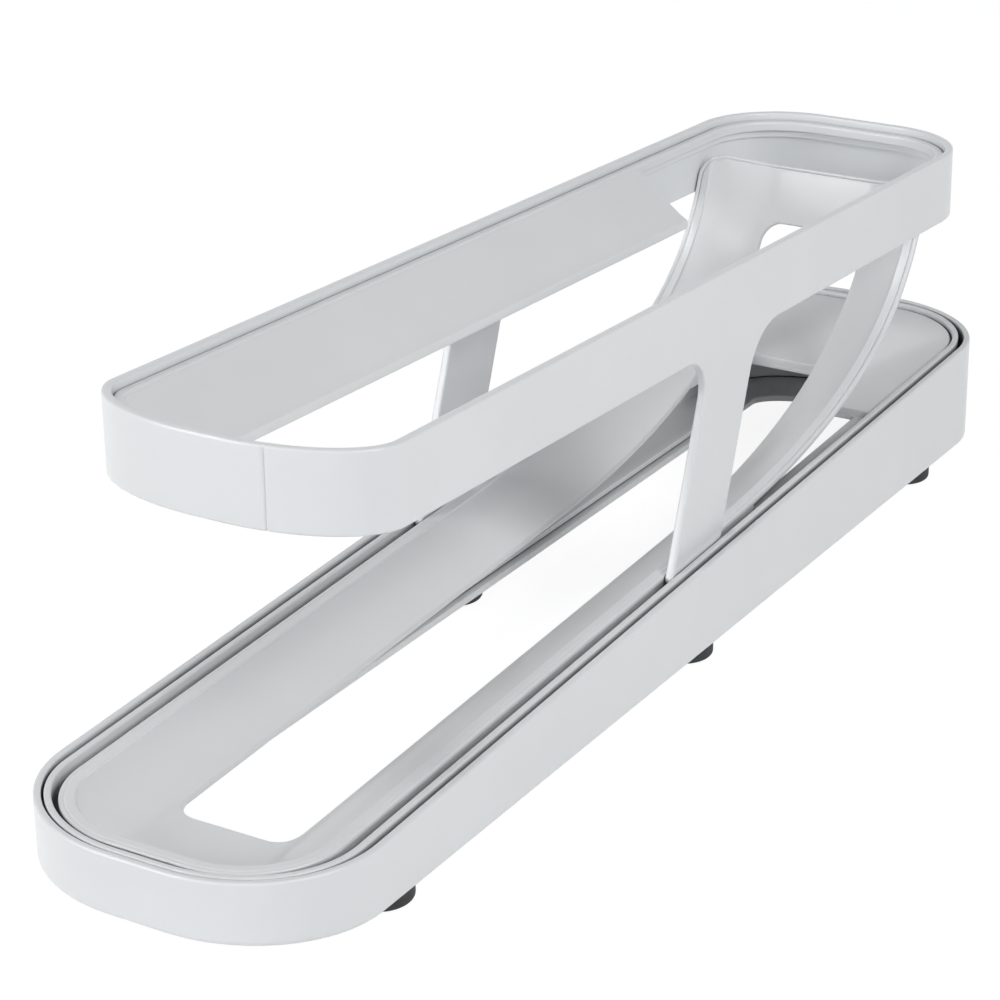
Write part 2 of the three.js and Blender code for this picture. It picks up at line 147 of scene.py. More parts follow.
def moulded(name, shells):
    """One mesh from closed shells in millimetres. A shell is (grid, ring).

    A grid's columns run round its section and always close. Its rows close too where ring is
    true, and otherwise each end gets a cap. A shell whose signed volume, a sixth of the sum of
    the triple products of its triangles, comes out negative is turned the other way round.
    """
    places, faces, used = [], [], 0
    for grid, ring in shells:
        index = np.arange(grid.shape[0] * grid.shape[1]).reshape(grid.shape[:2])
        near, far = (index, np.roll(index, -1, 0)) if ring else (index[:-1], index[1:])
        quads = np.stack([near, np.roll(near, -1, 1), np.roll(far, -1, 1), far], -1).reshape(-1, 4)
        caps = [] if ring else [index[0][::-1], index[-1]]
        place = grid.reshape(-1, 3)
        fans = [np.stack([np.full(len(c) - 2, c[0]), c[1:-1], c[2:]], 1) for c in caps]
        triangles = np.concatenate([quads[:, [0, 1, 2]], quads[:, [0, 2, 3]], *fans])
        a, b, c = (place[triangles[:, i]] for i in range(3))
        way_round = -1 if (a * np.cross(b, c)).sum() < 0 else 1
        for patch in (quads, *(cap[None] for cap in caps)):
            faces.extend((patch[:, ::way_round] + used).tolist())
        places.append(place)
        used += len(place)
    mesh = bpy.data.meshes.new(name)
    mesh.from_pydata((np.concatenate(places) / 1000).tolist(), [], faces)
    mesh.shade_smooth()
    mesh.set_sharp_from_angle(angle=np.radians(50))
    piece = bpy.data.objects.new(name, mesh)
    bpy.context.scene.collection.objects.link(piece)
    return piece


def mottle(material, scale, detail=2):
    """Cloudy noise in the piece's own coordinates, as a socket whose values lie round 0.5."""
    nodes, links = material.node_tree.nodes, material.node_tree.links
    noise = nodes.new("ShaderNodeTexNoise")
    noise.inputs["Scale"].default_value = scale
    noise.inputs["Detail"].default_value = detail
    links.new(nodes.new("ShaderNodeTexCoord").outputs["Object"], noise.inputs["Vector"])
    return noise.outputs["Fac"]


def two_tones(material, source, limits, dark, light):
    """A colour that goes evenly from dark to light while the source goes from one limit to the other."""
    ramp = material.node_tree.nodes.new("ShaderNodeValToRGB")
    for element, limit, colour in zip(ramp.color_ramp.elements, limits, (dark, light)):
        element.position = limit
        element.color = (*colour, 1)
    material.node_tree.links.new(source, ramp.inputs["Fac"])
    return ramp.outputs["Color"]


def stretched(material, source, limits, results):
    """A value that goes evenly between two results while the source goes between two limits."""
    stretch = material.node_tree.nodes.new("ShaderNodeMapRange")
    for socket, value in zip(("From Min", "From Max", "To Min", "To Max"), (*limits, *results)):
        stretch.inputs[socket].default_value = value
    material.node_tree.links.new(source, stretch.inputs["Value"])
    return stretch.outputs["Result"]


def skin_relief(material, source, strength, distance):
    """A fine relief of the skin, whose height is the source."""
    nodes, links = material.node_tree.nodes, material.node_tree.links
    relief = nodes.new("ShaderNodeBump")
    relief.inputs["Strength"].default_value = strength
    relief.inputs["Distance"].default_value = distance
    links.new(source, relief.inputs["Height"])
    links.new(relief.outputs["Normal"], nodes["Principled BSDF"].inputs["Normal"])


def satin_plastic(name, colour, roughness):
    """Moulded plastic: the tone drifts by a few parts in a hundred over centimetres, as the melt
    flowed, the gloss varies in smaller patches, and a fine spark-eroded grain breaks the skin.
    Deep in the narrow gaps, where little of the sky is open, painted shade darkens the colour."""
    material = bpy.data.materials.new(name)
    material.use_nodes = True
    nodes, links = material.node_tree.nodes, material.node_tree.links
    skin = nodes["Principled BSDF"]
    skin.inputs["IOR"].default_value = 1.48
    skin.inputs["Coat Weight"].default_value = 0.3
    skin.inputs["Coat Roughness"].default_value = 0.18

    flow_tone = two_tones(material, mottle(material, 22, 3), (0.3, 0.7), [c * 0.965 for c in colour], colour)
    # Painted shade: where ambient occlusion within 6 mm finds a narrow gap, the base colour is scaled down to
    # as little as a quarter.
    open_sky = nodes.new("ShaderNodeAmbientOcclusion")
    open_sky.inputs["Distance"].default_value = 0.006
    gap_shade_scale = stretched(material, open_sky.outputs["AO"], (0.12, 0.42), (0.25, 1.0))
    painted_gap_shade = nodes.new("ShaderNodeVectorMath")
    painted_gap_shade.operation = "SCALE"
    links.new(flow_tone, painted_gap_shade.inputs[0])
    links.new(gap_shade_scale, painted_gap_shade.inputs["Scale"])
    links.new(painted_gap_shade.outputs["Vector"], skin.inputs["Base Color"])

    gloss = stretched(material, mottle(material, 160, 4), (0.3, 0.7), (roughness - 0.05, roughness + 0.06))
    links.new(gloss, skin.inputs["Roughness"])
    skin_relief(material, mottle(material, 2600), 0.10, 0.0001)
    return material


base_path, base_inward = both_sides(*plan_half(
    base_half, base_front, base_rear, base_front_corner, base_rear_corner))
rim = rim_line(base_path[:, 1])
tray_section = rounded(stacked(
    (0, tray_bottom), (tray_flange, tray_bottom), (tray_flange, tray_flange_top),
    (tray_wall, tray_flange_top), (tray_wall, rim), (0, rim)), tray_roundings)
outer_tray = moulded("outer_tray", [(carried(base_path, base_inward, tray_section), True)])
outer_tray.data.materials.append(satin_plastic("tray_satin_white", satin_white, 0.34))
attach(outer_tray, "root")
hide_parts("base_shell")

# Rubber feet.
# Six soft discs of dark grey rubber, three along each side, that keep the tray from sliding.
# Each is turned, with a broken bottom edge, a neck through a hole in the tray's flange and a
# round head above it, and is pushed in from below.
foot_places = {"front": -142.2, "mid": -0.6, "rear": 135.5}
foot_side = 34.8
pad_radius, pad_top = 8.0, 3.7
neck_radius, head_bottom = 2.4, 6.3
head_radius, head_top = 3.55, 7.6
foot_corners = [
    (5.0, 0.0), (pad_radius, 0.0), (pad_radius, pad_top), (neck_radius, pad_top),
    (neck_radius, head_bottom), (head_radius, head_bottom), (head_radius, head_top), (1.2, head_top)]
foot_roundings = [0.1, 1.0, 0.6, 0.1, 0.1, 0.25, 0.8, 0.1]

# The first and last corners only close the section for the arcs, and are left out of the profile.
foot_arcs = rounded(foot_corners, foot_roundings).reshape(len(foot_corners), -1, 2)
foot_profile = foot_arcs[1:-1].reshape(-1, 2)


def turned(profile, x, y, count=48):
    """A profile of (radius, height) turned round an upright axis: radius * (cos, sin) of the turn."""
    turn = np.linspace(0, 2 * np.pi, count, endpoint=False)
    radius, height = profile[:, :1], np.broadcast_to(profile[:, 1:], (len(profile), count))
    return np.stack([x + radius * np.cos(turn), y + radius * np.sin(turn), height], -1)


def grippy_rubber(name):
    """Dark grey rubber: a faint dusty bloom over the dark body, and a coarse matte skin."""
    material = bpy.data.materials.new(name)
    material.use_nodes = True
    nodes, links = material.node_tree.nodes, material.node_tree.links
    skin = nodes["Principled BSDF"]
    skin.inputs["Specular IOR Level"].default_value = 0.35
    dust = mottle(material, 420, 5)
    body, bloom = (0.036, 0.037, 0.040), (0.068, 0.068, 0.070)
    links.new(two_tones(material, dust, (0.35, 0.75), body, bloom), skin.inputs["Base Color"])
    links.new(stretched(material, dust, (0.0, 1.0), (0.62, 0.86)), skin.inputs["Roughness"])
    skin_relief(material, mottle(material, 1900), 0.35, 0.00015)
    return material


foot_skin = grippy_rubber("foot_rubber_dark")
for row, y in foot_places.items():
    for side, x in (("left", -foot_side), ("right", foot_side)):
        foot = moulded(f"rubber_foot_{row}_{side}", [(turned(foot_profile, x, y), False)])
        foot.data.materials.append(foot_skin)
        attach(foot, "root")
        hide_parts(f"foot_{row}_{side}")

# Middle ring of the base.
# A second wall, nearly flush with the outer tray's rim and a narrow gap inside it. It carries a
# notched floor plate at the rear, on a web that runs forward as a ledge, a flange along each
# side and two ribs to each leg socket. One moulding in satin white, it drops into the tray.
ring_half, ring_front, ring_rear = 40.5, -182.9, 182.0
ring_front_corner, ring_rear_corner = (33.6, 26.6), (29.0, 27.0)
ring_wall, ring_bottom, ring_drop = 1.7, 6.3, 0.1
web_inset, web_drop, web_bottom_drop = 0.9, 3.1, 4.6
floor_ledge_front, floor_ledge_half, floor_corner = 37.3, 33.4, 1.2
plate_front, plate_inset, plate_drop, plate_overlap = 104.0, 2.4, 1.1, 0.5
notch_half, notch_rear, notch_corner = 18.0, 128.0, 6.0
flange_inner, flange_front, flange_rear, flange_top = 25.8, -148, 150, 8.3
leg_foot_y, socket_drop = -1.2, 4.0
rib_inner, rib_outer, rib_width, rib_fronts = 36.3, 40.2, 2.0, (-12.5, 8.1)

ring_path, ring_inward = both_sides(*plan_half(
    ring_half, ring_front, ring_rear, ring_front_corner, ring_rear_corner))
ring_top = rim_line(ring_path[:, 1]) - ring_drop
ring_section = rounded(stacked(
    (0, ring_bottom), (ring_wall, ring_bottom), (ring_wall, ring_top), (0, ring_top)), [0.4, 0.4, 0.45, 0.45])


def floor_outline(inset, front, arm_half):
    """Closed plan outline of one layer of the rear floor, anticlockwise from above.

    It follows the ring's outline, moved in by inset, from the front round the rear and back, and
    returns along the opening: a rectangle between the arms and a narrower notch behind it. Its
    own corners are arcs. The two guide corners only give the arcs at the arms' ends their
    direction, and are left out.
    """
    outer, inward = plan_half(
        ring_half, front + 2, ring_rear, None, ring_rear_corner, side_steps=20, rear_steps=6)
    around, _ = both_sides(outer + inward * inset, inward)
    half, guide = ring_half - inset, front + 9
    opening = [(notch_half, notch_rear), (notch_half, front)]
    if arm_half < half:
        opening[1:] = [(notch_half, plate_front), (arm_half, plate_front), (arm_half, front)]
    corners = [*opening, (half, front), (half, guide), (-half, guide), (-half, front),
               *((-x, y) for x, y in opening[::-1])]
    side_radii = [floor_corner] * len(opening)
    radii = [notch_corner, *side_radii, 0.1, 0.1, *side_radii, notch_corner]
    arcs = rounded(corners, radii).reshape(len(corners), -1, 2)
    right_arcs, left_arcs = np.split(arcs, 2)
    return np.concatenate([right_arcs[:-1].reshape(-1, 2), around, left_arcs[1:].reshape(-1, 2)])


def flat_piece(outline, high_drop, low_drop, edge=0.4):
    """A flat piece of any closed plan outline, between two drops below the rim line.

    Its rows go up from the underside: outline + inward normal * inset, where the inset and the
    height follow quarter circles of the edge's radius, edge * (1 - sin) and edge * (1 - cos).
    """
    ahead = np.roll(outline, -1, 0) - outline
    ahead /= np.linalg.norm(ahead, axis=1, keepdims=True)
    tangent = ahead + np.roll(ahead, 1, 0)
    tangent /= np.linalg.norm(tangent, axis=1, keepdims=True)
    inward = np.stack([-tangent[:, 1], tangent[:, 0]], 1)
    arc = np.linspace(0, np.pi / 2, 5)
    inset = np.concatenate([[edge + 0.1], edge * (1 - np.sin(arc)), edge * (1 - np.cos(arc)), [edge + 0.1]])
    drop = np.concatenate([[low_drop], low_drop - edge * (1 - np.cos(arc)),
                           high_drop + edge * (1 - np.sin(arc)), [high_drop]])
    plan = outline + inward * inset[:, None, None]
    return np.concatenate([plan, (rim_line(plan[..., 1]) - drop[:, None])[..., None]], -1)


web = flat_piece(floor_outline(web_inset, floor_ledge_front, floor_ledge_half), web_drop, web_bottom_drop)
plate = flat_piece(floor_outline(plate_inset, plate_front, ring_half), plate_drop, web_drop + plate_overlap)


def block(x0, x1, y0, y1, low, high, radius=0.5):
    """An upright block: a rectangle in plan with rounded corners, carried straight up.

    Its ends are eased: the section shrinks to 0.9 over the last 0.3 mm, and to 0.6 on the end itself.
    """
    section = rounded([(x0, y0), (x1, y0), (x1, y1), (x0, y1)], radius, steps=3, land=0.05)
    centre, ease = section.mean(0), 0.3
    heights = np.array([low, low, low + ease, high - ease, high, high])
    shrink = np.array([0.6, 0.9, 1.0, 1.0, 0.9, 0.6])
    plan = centre + (section - centre) * shrink[:, None, None]
    return np.concatenate([plan, np.broadcast_to(heights[:, None, None], (*plan.shape[:2], 1))], -1)


def block_pair(inner, outer, *sizes, **rounding):
    """The same block on the right and, mirrored, on the left."""
    return [block(inner, outer, *sizes, **rounding), block(-outer, -inner, *sizes, **rounding)]


socket_top = rim_line(leg_foot_y) - socket_drop
ribs = [rib for y in rib_fronts
        for rib in block_pair(rib_inner, rib_outer, y, y + rib_width, ring_bottom + 0.5, socket_top)]
flanges = block_pair(flange_inner, rib_outer, flange_front, flange_rear, ring_bottom, flange_top, radius=2.0)

middle_ring = moulded("middle_ring", [
    (carried(ring_path, ring_inward, ring_section), True), (web, False), (plate, False),
    *((rib, False) for rib in ribs), *((flange, False) for flange in flanges)])
middle_ring.data.materials.append(satin_plastic("ring_satin_white", (0.83, 0.842, 0.85), 0.4))
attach(middle_ring, "root")
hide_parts("deck_frame")

# Lower track and slide.
# A curled slide at the rear runs down into two sloped ledges with a slot between them, which
# lead to the front. Rim, ledges and slide are one thin moulding in satin white. A skirt under
# the rim stands inside the middle ring, and the slide reaches up into the upper band.
track_half, track_front, track_corner, track_rim_drop = 35.9, -180.1, (26.0, 22.5), 0.5
track_rim_width, track_rim_fall, track_depth, track_sheet = 3.6, 0.2, 10.0, 1.8
track_rim_step, track_rim_line, track_edge, slot_edge = 0.4, (0.15, 0.45), 0.5, 0.6
lower_slot_half, lower_slot_front, slot_corner = 16.0, -149.9, (6, 6)
slide_start, slide_top_y, slide_top_drop, slide_corner = 20.0, 142.5, 7.4, (7.8, 7.8)
slide_top_arm, slide_top_lean, slide_foot_arm = 15.0, 0.4, 113.0
slide_web, slide_slot_corner = 16.0, (5, 5)
skirt_outer, skirt_inner, skirt_bottom, skirt_rear, skirt_top_drop = 0.12, 1.6, 8.6, 37.0, 1.2
band_front, band_rear, band_high, band_low_end = -152.3, 175.3, 106.3, 92.8
band_slope = (band_high - band_low_end) / (band_rear - band_front)
track_white = (0.84, 0.85, 0.86)


def band_line(y):
    """Height of the upper band's rim, which falls evenly from its front to its rear."""
    return band_high - band_slope * (y - band_front)


def slide_stations(count=400):
    """The rim line in side view, from the front to the slide's top, as arrays (run, place, normal) in (y, z).

    The slide is a cubic Bezier curve: (1-t)^3 P0 + 3 t (1-t)^2 P1 + 3 t^2 (1-t) P2 + t^3 P3, whose
    last arm lies along the base rim. The run is the length along it, counted so that it equals y
    on the straight part, and a normal is the tangent turned a quarter upwards.
    """
    slope = (rim_high - rim_low) / (base_rear - base_front)
    start = np.array([slide_start, rim_line(slide_start) - track_rim_drop])
    top = np.array([slide_top_y, band_line(slide_top_y) - slide_top_drop])
    steep = top - slide_top_arm * np.array([np.sin(slide_top_lean), np.cos(slide_top_lean)])
    ease = start + slide_foot_arm * np.array([1.0, slope]) / np.hypot(1.0, slope)
    t = np.linspace(0, 1, count)[:, None]
    curve = (1 - t) ** 3 * top + 3 * t * (1 - t) ** 2 * steep + 3 * t ** 2 * (1 - t) * ease + t ** 3 * start
    length = np.concatenate([[0], np.cumsum(np.linalg.norm(np.diff(curve, axis=0), axis=1))])
    run = slide_start + length[-1] - length
    tangent = np.gradient(curve, length, axis=0)
    tangent /= np.linalg.norm(tangent, axis=1, keepdims=True)
    past_front = base_front - 5.0
    front = np.array([past_front, rim_line(past_front) - track_rim_drop])
    straight = (front - start) / np.linalg.norm(front - start)
    run = np.concatenate([run, [past_front]])
    place = np.concatenate([curve, [front]])
    tangent = np.concatenate([tangent[:-1], [straight, straight]])
    order = np.argsort(run)
    return run[order], place[order], np.stack([tangent[:, 1], -tangent[:, 0]], 1)[order]


runs, run_places, run_normals = slide_stations()
run_top = runs.max()


def on_track(plan, depth):
    """Plan points (x, run) laid onto the track at a depth below its rim line: station + normal * -depth."""
    x, run = plan[..., 0], plan[..., 1]
    y, z = (np.interp(run, runs, run_places[:, i]) - depth * np.interp(run, runs, run_normals[:, i])
            for i in (0, 1))
    return np.stack([x, y, z], -1)


def tub_depth(x, edge, rim_width, rim_fall, depth, slot_half, half, step, wall=2.4):
    """How far the ledges lie below the rim.

    Across the rim the depth grows evenly to rim_fall. Inside it, it grows evenly with the share s
    of the way to the slot's edge, and levels out round s = 1 along the parabola
    s - (s - 1 + w)^2 / 4w, w being the level share. Next to the front wall it is held up by a
    smooth step 3 s^2 - 2 s^3 of the distance from the rim. A small step right inside the rim
    rises within 0.2 mm and fades out over 6 mm.
    """
    run, level = half - rim_width - slot_half, 0.15
    side = np.clip((half - rim_width - np.abs(x)) / run, 0, None)
    side = np.where(side < 1 - level, side, side - (side - 1 + level) ** 2 / (4 * level))
    side = rim_fall + (depth - rim_fall) * np.where(np.abs(x) < slot_half - level * run, 1, side)
    share = np.clip((edge - rim_width) / wall, 0, 1)
    front = rim_fall + (depth - rim_fall) * share ** 2 * (3 - 2 * share)
    inside = np.clip(edge - rim_width, 0, None)
    small_step = step * np.clip(inside / 0.2, 0, 1) * np.clip(1 - inside / 6, 0, 1)
    floor = np.minimum(side, front) + small_step
    return np.where(edge < rim_width, rim_fall * np.clip(edge, 0, None) / rim_width, floor)


def slotted_tub(outer, inward, slot, place, *, inset, straight_from, half, sheet, edge_radius, slot_radius,
                line_depths, **shape):
    """A thin sheet between an outer path and the slot's path, as a closed section carried round both.

    Columns run from the outer edge over the rim and down the ledge to the slot, round the slot's
    edge and back underneath, where the section moves in by sheet_shift so that the sheet keeps
    its thickness on the slope. Near the rim a point is outer + inward * (inset + distance), further
    in it is a share of the way to the slot. Rounded edges come from circle arcs at both ends. The
    fine line inside the edge is a bell curve exp(-(distance / line_spread)^2), deeper at the rear.
    """
    line_place, line_spread, sheet_shift, shift_from = 1.25, 0.2, 1.7, 1.9
    arc = np.linspace(0, np.pi / 2, 5)
    near = np.concatenate([edge_radius * (1 - np.cos(arc)), np.linspace(0.75, 1.75, 9), [2.4, 3.0, 3.4],
                           np.linspace(3.6, 4.2, 7), np.linspace(4.5, 7.2, 10)])
    lift = np.concatenate([edge_radius * (1 - np.sin(arc)), np.zeros(len(near) - len(arc))])
    line = np.exp(-((near - line_place) / line_spread) ** 2)
    close = np.concatenate([[slot_radius + 0.4], slot_radius * (1 - np.cos(arc[::-1]))])
    shares = np.linspace(0, 1, 7)[1:-1]
    rim_points = outer[:, None] + inward[:, None] * (inset + near)[:, None]
    last = rim_points[:, -1:]
    reach = np.linalg.norm(slot[:, None] - last, axis=-1)
    at_slot = 1 - close / reach
    share = np.concatenate([shares * at_slot[:, :1], at_slot], 1)
    ledge_points = last + (slot[:, None] - last) * share[..., None]
    plan = np.concatenate([rim_points, ledge_points], 1)
    edge = np.concatenate([np.broadcast_to(near, rim_points.shape[:2]), near[-1] + share * reach], 1)
    edge = np.where(plan[..., 1] > straight_from, half - np.abs(plan[..., 0]), edge)
    soften = np.concatenate([lift, np.zeros(len(shares) + 1), slot_radius * (1 - np.sin(arc[::-1]))])
    deepen = np.interp(plan[..., 1], [0.0, 60.0], line_depths)
    groove = np.concatenate([line, np.zeros(share.shape[1])]) * deepen
    upper = tub_depth(plan[..., 0], edge, half=half, **shape) + soften + groove
    shifted = edge + np.where(edge > shift_from, sheet_shift, 0)
    lower = tub_depth(plan[..., 0], shifted, half=half, **shape) + sheet - soften
    top = place(plan, upper)
    bottom = place(plan, lower)
    return np.concatenate([top, bottom[:, ::-1]], 1)


track_path, track_inward = both_sides(*plan_half(
    track_half, track_front, run_top, track_corner, slide_corner, side_steps=110, rear_steps=14))
lower_slot_path, _ = both_sides(*plan_half(
    lower_slot_half, lower_slot_front, run_top - slide_web, slot_corner, slide_slot_corner,
    side_steps=110, rear_steps=14))
track_sheet_grid = slotted_tub(
    track_path, track_inward, lower_slot_path, on_track, inset=0, straight_from=-100.0, half=track_half,
    sheet=track_sheet, edge_radius=track_edge, slot_radius=slot_edge, line_depths=track_rim_line,
    step=track_rim_step, rim_width=track_rim_width, rim_fall=track_rim_fall, depth=track_depth,
    slot_half=lower_slot_half)

skirt_path, skirt_inward = both_sides(
    *plan_half(track_half, track_front, skirt_rear, track_corner, None), open_rear=True)
skirt_top = rim_line(skirt_path[:, 1]) - track_rim_drop - skirt_top_drop
skirt_section = rounded(stacked(
    (skirt_outer, skirt_bottom), (skirt_inner, skirt_bottom), (skirt_inner, skirt_top),
    (skirt_outer, skirt_top)), 0.3)

roll_slide = moulded("lower_track_and_slide", [
    (track_sheet_grid, True), (carried(skirt_path, skirt_inward, skirt_section), False)])
roll_slide.data.materials.append(satin_plastic("track_satin_white", track_white, 0.34))
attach(roll_slide, "root")
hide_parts("roll_track")

# Upper band and its legs.
# The band round the upper tier runs straight into two flat legs that lean back as they rise. It
# is one white moulding 2.3 mm thick, with all edges eased. Each leg's tab stands in a socket of
# the middle ring, and a narrow ledge inside the band carries the upper track.
band_half, band_height, band_wall, band_edge = 38.5, 19.6, 2.3, 0.55
band_front_corner, band_rear_corner = (34.9, 19.2), (26.5, 26.4)
leg_width, leg_lean = 25.6, 14.6 / 39.2
leg_front_fillet, leg_rear_fillet, leg_foot_corner = 9.0, 16.0, 1.8
lean_reach = 45.0
mould_line_x, mould_line_depth, mould_line_spread = 15.0, 0.5, 0.35
tab_inner, tab_outer, tab_half_width, tab_bottom, tab_rise = 36.4, 38.3, 9, 8.6, 3
seat_gap = 0.3
band_ledge_front, band_ledge_inset, band_ledge_thickness = -121.9, 1.2, 2
upper_rim_drop, bead_height = 2.0, 2.8

corner_steps = 60
half_points, half_inward = plan_half(
    band_half, band_front, band_rear, band_front_corner, band_rear_corner, corner_steps, side_steps=60)
half_points = np.concatenate([[[0, band_front]], half_points, [[0, band_rear]]])
half_inward = np.concatenate([[[0, 1]], half_inward, [[0, -1]]])
half_length = np.concatenate([[0], np.cumsum(np.linalg.norm(np.diff(half_points, axis=0), axis=1))])


def along_band(length, column, table=half_points):
    """A coordinate of the band's right half at a length along its outline, read off the outline's points."""
    return np.interp(length, half_length, table[:, column])


def band_low(y):
    """The band's bottom edge, its height below the rim line."""
    return band_line(y) - band_height


def leg_outline():
    """The leg in side view, from the band's bottom edge down its front and up its rear, as (y, z).

    Two lines lean by 14.6 in 39.2. Each meets the band's edge in an arc whose centre lies
    radius / sin(half the angle) along the bisector, and the foot's corners are small arcs.
    """
    foot_z = socket_top + seat_gap
    ends = []
    for side in (-1, 1):
        y0 = leg_foot_y + side * leg_width / 2
        z = (band_low(0.0) - band_slope * (y0 - leg_lean * foot_z)) / (1 + band_slope * leg_lean)
        ends.append((y0 + leg_lean * (z - foot_z), z))
    feet = [(leg_foot_y - leg_width / 2, foot_z), (leg_foot_y + leg_width / 2, foot_z)]
    far = 60.0
    corners = [(ends[0][0] - far, band_low(ends[0][0] - far)), ends[0], feet[0], feet[1], ends[1],
               (ends[1][0] + far, band_low(ends[1][0] + far)), (leg_foot_y, band_line(0.0) + far)]
    roundings = [0.1, leg_front_fillet, leg_foot_corner, leg_foot_corner, leg_rear_fillet, 0.1, 0.1]
    return rounded(corners, roundings, steps=16).reshape(len(corners), -1, 2)[1:5]


leg_front_arc, foot_front_arc, foot_rear_arc, leg_rear_arc = leg_outline()


def between(a, b, count):
    """Points spaced evenly from a to b, without the two ends."""
    return a + (b - a) * np.linspace(0, 1, count + 2)[1:-1, None]


leg_edge = np.concatenate([
    leg_front_arc, between(leg_front_arc[-1], foot_front_arc[0], 14), foot_front_arc,
    between(foot_front_arc[-1], foot_rear_arc[0], 10), foot_rear_arc,
    between(foot_rear_arc[-1], leg_rear_arc[0], 14), leg_rear_arc])
side_start = band_front + band_front_corner[1]
side_distance = np.abs(half_points[:, 1] - side_start) + np.abs(half_points[:, 0] - band_half)
length_at_side = half_length[np.argmin(side_distance)]
leg_low = np.stack([length_at_side + leg_edge[:, 0] - side_start, leg_edge[:, 1]], 1)

# The rim point above each point of the leg's edge follows the lean, spread a little so that no two meet.
spread_shares = [0, 0.16, 0.29, 0.45, 0.55, 0.71, 0.84, 1]
spread_steps = [0, 0.6, 3.2, 3.8, -4.8, -4.2, -1.6, 0]
spread = np.interp(np.linspace(0, 1, len(leg_edge)), spread_shares, spread_steps)
rim_y = leg_edge[:, 0] + leg_lean * (band_line(leg_edge[:, 0]) - leg_edge[:, 1]) + spread
rim_y = np.maximum.accumulate(rim_y + 0.0005 * np.arange(len(rim_y)))
leg_high = length_at_side + rim_y - side_start

front_arc = slice(1, corner_steps + 2)
mould_line_length = np.interp(mould_line_x, half_points[front_arc, 0], half_length[front_arc])
round_the_line = mould_line_length + np.linspace(-1.2, 1.2, 25)
samples = np.unique(np.concatenate([half_length, round_the_line]).round(4))
samples = samples[(samples > 0.5) & (samples < half_length[-1] - 0.5)]
before, after = samples[samples < leg_low[0, 0] - 0.3], samples[samples > leg_low[-1, 0] + 0.3]
shift_before = leg_lean * band_height * np.clip(1 - (leg_low[0, 0] - before) / lean_reach, 0, 1) ** 2
shift_after = leg_lean * band_height * np.clip(1 - (after - leg_low[-1, 0]) / lean_reach, 0, 1) ** 2
low_length = np.concatenate([before, leg_low[:, 0], after])
low_height = np.concatenate([band_low(along_band(before, 1)), leg_low[:, 1], band_low(along_band(after, 1))])
high_length = np.concatenate([before + shift_before, leg_high, after + shift_after])
high_height = band_line(along_band(high_length, 1))


def edge_across(length, height):
    """Unit vector out of the sheet at its edge, in the wall's plane: the edge's tangent turned clockwise."""
    tangent = np.stack([np.gradient(length), np.gradient(height)], 1)
    tangent /= np.linalg.norm(tangent, axis=1, keepdims=True)
    return np.stack([tangent[:, 1], -tangent[:, 0]], 1)


def walled(length, height, out, steps=5):
    """One eased edge of the wall: points (length, height, inset) from the outer face round to the inner face.

    A point lies a distance from the edge, edge - out * distance, at an inset through the wall, and
    both follow quarter circles of the edge's radius at each side of a flat.
    """
    arc = np.linspace(0, np.pi / 2, steps + 1)
    falling, rising = band_edge * (1 - np.sin(arc)), band_edge * (1 - np.cos(arc))
    distance = np.concatenate([[band_edge + 0.5], falling, rising, [band_edge + 0.5]])
    inset = np.concatenate([[0], rising, band_wall - falling, [band_wall]])
    across = np.stack([length, height], 1)[:, None] - out[:, None] * distance[:, None]
    return np.concatenate([across, np.broadcast_to(inset[:, None], (*across.shape[:2], 1))], -1)


low_edge = walled(low_length, low_height, edge_across(low_length, low_height))
high_edge = walled(high_length, high_height, -edge_across(high_length, high_height))[:, ::-1]
wall_points = np.concatenate([low_edge, high_edge], 1)
outline_x, outline_y = along_band(wall_points[..., 0], 0), along_band(wall_points[..., 0], 1)
inward_x, inward_y = (along_band(wall_points[..., 0], i, half_inward) for i in (0, 1))
inward_size = np.hypot(inward_x, inward_y)
right_wall = np.stack([outline_x + inward_x / inward_size * wall_points[..., 2],
                       outline_y + inward_y / inward_size * wall_points[..., 2], wall_points[..., 1]], -1)
left_wall = right_wall[::-1] * (-1, 1, 1)

# The fine upright mould line on the front of the band, a bell-shaped groove in the outer face.
at_front = (right_wall[..., 1] < band_front + 3) & (wall_points[..., 2] < band_wall / 2)
off_line = (right_wall[..., 0] - mould_line_x) / mould_line_spread
right_wall[..., 1] += np.where(at_front, mould_line_depth * np.exp(-off_line ** 2), 0)
band_wall_grid = np.concatenate([right_wall, left_wall])

tabs = block_pair(
    tab_inner, tab_outer, leg_foot_y - tab_half_width, leg_foot_y + tab_half_width, tab_bottom,
    socket_top + tab_rise)

ledge_path, ledge_inward = both_sides(*plan_half(
    band_half, band_ledge_front, band_rear, None, band_rear_corner))
ledge_top = band_line(ledge_path[:, 1]) - upper_rim_drop - bead_height - seat_gap
ledge_bottom, ledge_inner = ledge_top - band_ledge_thickness, band_wall + band_ledge_inset
ledge_section = rounded(stacked(
    (band_ledge_inset, ledge_bottom), (ledge_inner, ledge_bottom), (ledge_inner, ledge_top),
    (band_ledge_inset, ledge_top)), 0.3)

upper_band = moulded("upper_band_and_legs", [
    (band_wall_grid, True), *((tab, False) for tab in tabs),
    (carried(ledge_path, ledge_inward, ledge_section), False)])
upper_band.data.materials.append(satin_plastic("band_satin_white", satin_white, 0.34))
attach(upper_band, "root")
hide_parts("upper_frame")

# Upper track.
# A rim that lies inside the band, 2 mm below its edge, with two sloped ledges and a slot between
# them for the first two thirds of the tier. Behind the ledges the way is open down to the slide.
# One satin white moulding, it snaps onto the band's inner ledge.
upper_inset, upper_rim_width, upper_rim_fall, sheet_tuck = 2.6, 2.5, 0.5, 0.6
upper_track_half, upper_track_rear = band_half - upper_inset, 97.0
upper_slot_half, upper_slot_front, upper_depth, upper_sheet = 16.5, -131.7, 13.5, 2.6
sheet_edge, upper_slot_edge, upper_rim_line = 0.4, 0.3, (0.1, 0.1)

